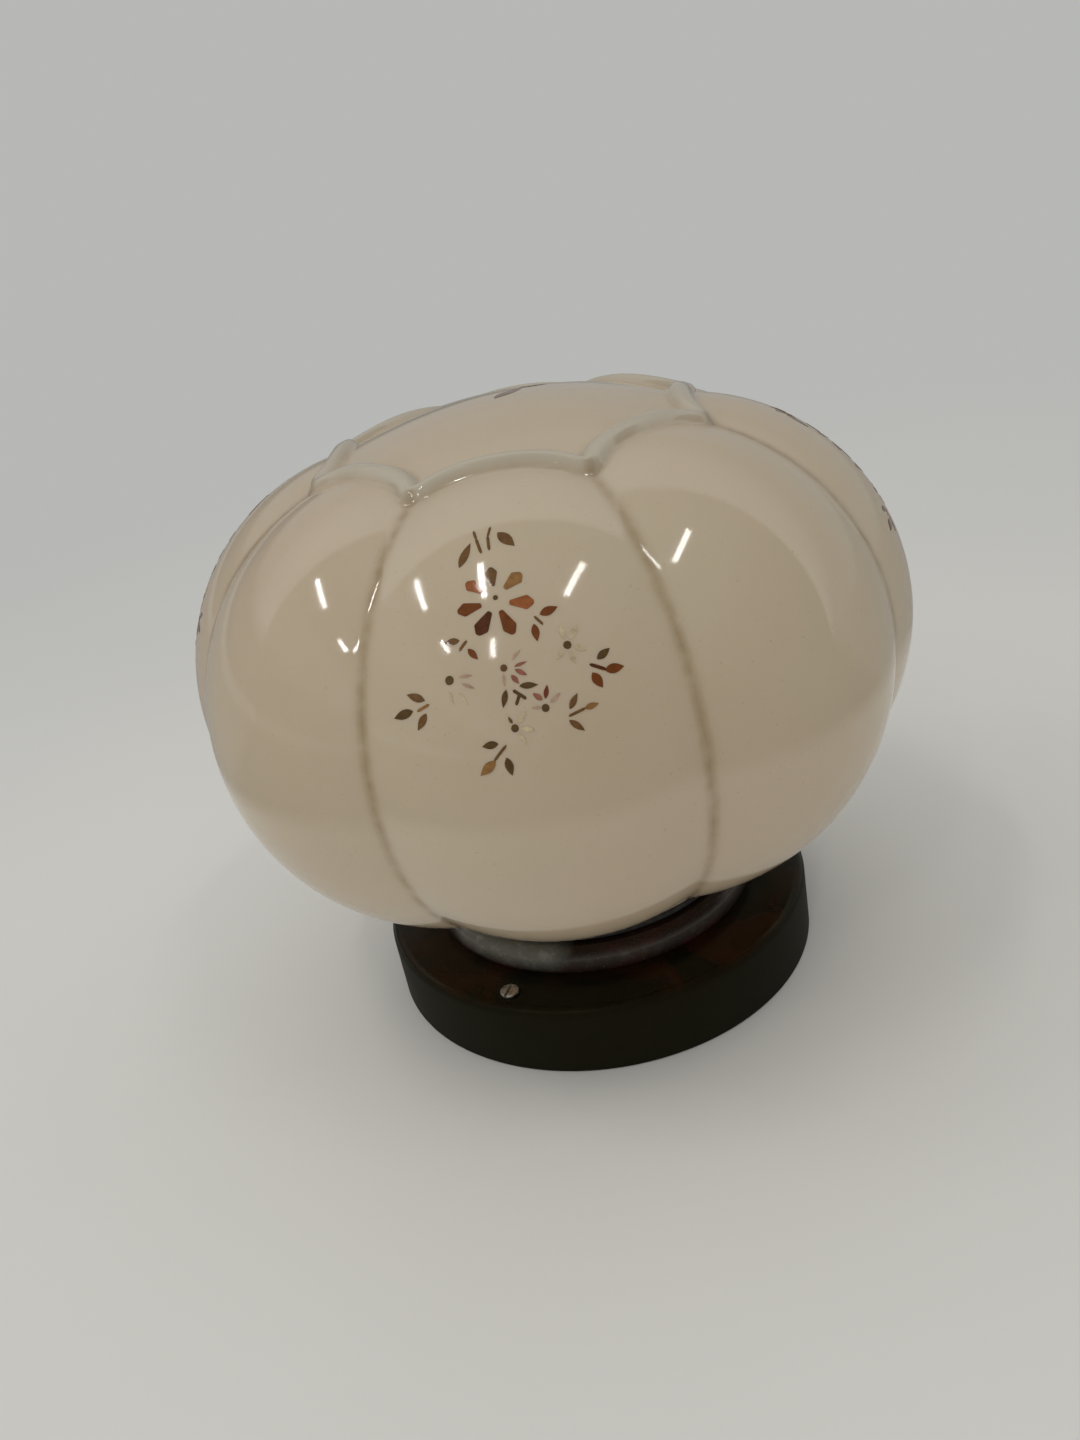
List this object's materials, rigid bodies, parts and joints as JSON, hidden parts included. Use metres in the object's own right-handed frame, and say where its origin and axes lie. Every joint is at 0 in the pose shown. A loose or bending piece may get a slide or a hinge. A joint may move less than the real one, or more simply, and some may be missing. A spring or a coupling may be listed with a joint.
{
  "type": "ceiling lamp",
  "caption": "Flush ceiling lamp with a lobed opal glass shade that screws into a round moulded base, over a screw-in bulb.",
  "frame": {"origin": "centre of the base's ceiling face", "axes": "+Z out of the ceiling face along the lamp's axis, through the glass; on a ceiling it points down. -Y through the middle of a lobe."},
  "size_m": [0.2714, 0.2714, 0.2309],
  "materials": {
    "base": "polished dark brown-black moulding",
    "collar": "dull grey-black moulding",
    "steel": "zinc plated",
    "nickel": "nickel plated",
    "brass": "turned and pressed",
    "holder": "black moulding",
    "ceramic": "glazed ceramic",
    "wire_brown": "insulation",
    "wire_blue": "insulation",
    "gasket": "soft black",
    "opal": "glossy cream opal glass with stencilled flowers",
    "clear_glass": "clear",
    "cap_metal": "bright pressed",
    "black_glass": "black insulating glass",
    "solder": "dull solder",
    "tungsten": "dark wire"
  },
  "bodies": {
    "fitting": {"base_body": "base", "collar_ring": "collar", "collar_screws": "steel", "cover_screws": "nickel", "mounting_strap": "steel", "holder_bridge": "steel", "nipple": "brass", "nipple_nut": "brass", "nipple_washer": "steel", "holder_cap": "holder", "holder_skirt": "holder", "holder_insert": "ceramic", "thread_shell": "brass", "centre_contact": "brass", "side_contact": "brass", "holder_screws": "brass", "terminal_block": "ceramic", "terminal_clamps": "brass", "terminal_screws": "steel", "block_screw": "steel", "live_wire": "wire_brown", "neutral_wire": "wire_blue"},
    "seal": {"shade_gasket": "gasket"},
    "shade": {"glass_shade": "opal"},
    "bulb_foot": {"bulb_tip": "solder"},
    "bulb": {"bulb_glass": "clear_glass", "bulb_cap": "cap_metal", "bulb_insulator": "black_glass", "bulb_stem": "clear_glass", "filament": "tungsten", "filament_supports": "tungsten"}
  },
  "joints": [
    {"name": "shade_lift", "type": "slide", "parent": "fitting", "child": "seal", "axis": [0, 0, 1], "range_m": [0, 0.0106]},
    {"name": "shade_turn", "type": "hinge", "parent": "seal", "child": "shade", "pos_m": [0, 0, 0.041], "axis": [0, 0, 1], "range_deg": [0, 630]},
    {"name": "bulb_lift", "type": "slide", "parent": "fitting", "child": "bulb_foot", "axis": [0, 0, 1], "range_m": [0, 0.0202]},
    {"name": "bulb_turn", "type": "hinge", "parent": "bulb_foot", "child": "bulb", "pos_m": [0, 0, 0.05], "axis": [0, 0, 1], "range_deg": [0, 1980]}
  ],
  "couplings": [
    {"joint": "shade_lift", "follows": "shade_turn", "m_per_rad": 0.00095493},
    {"joint": "bulb_lift", "follows": "bulb_turn", "m_per_rad": 0.00057757}
  ]
}
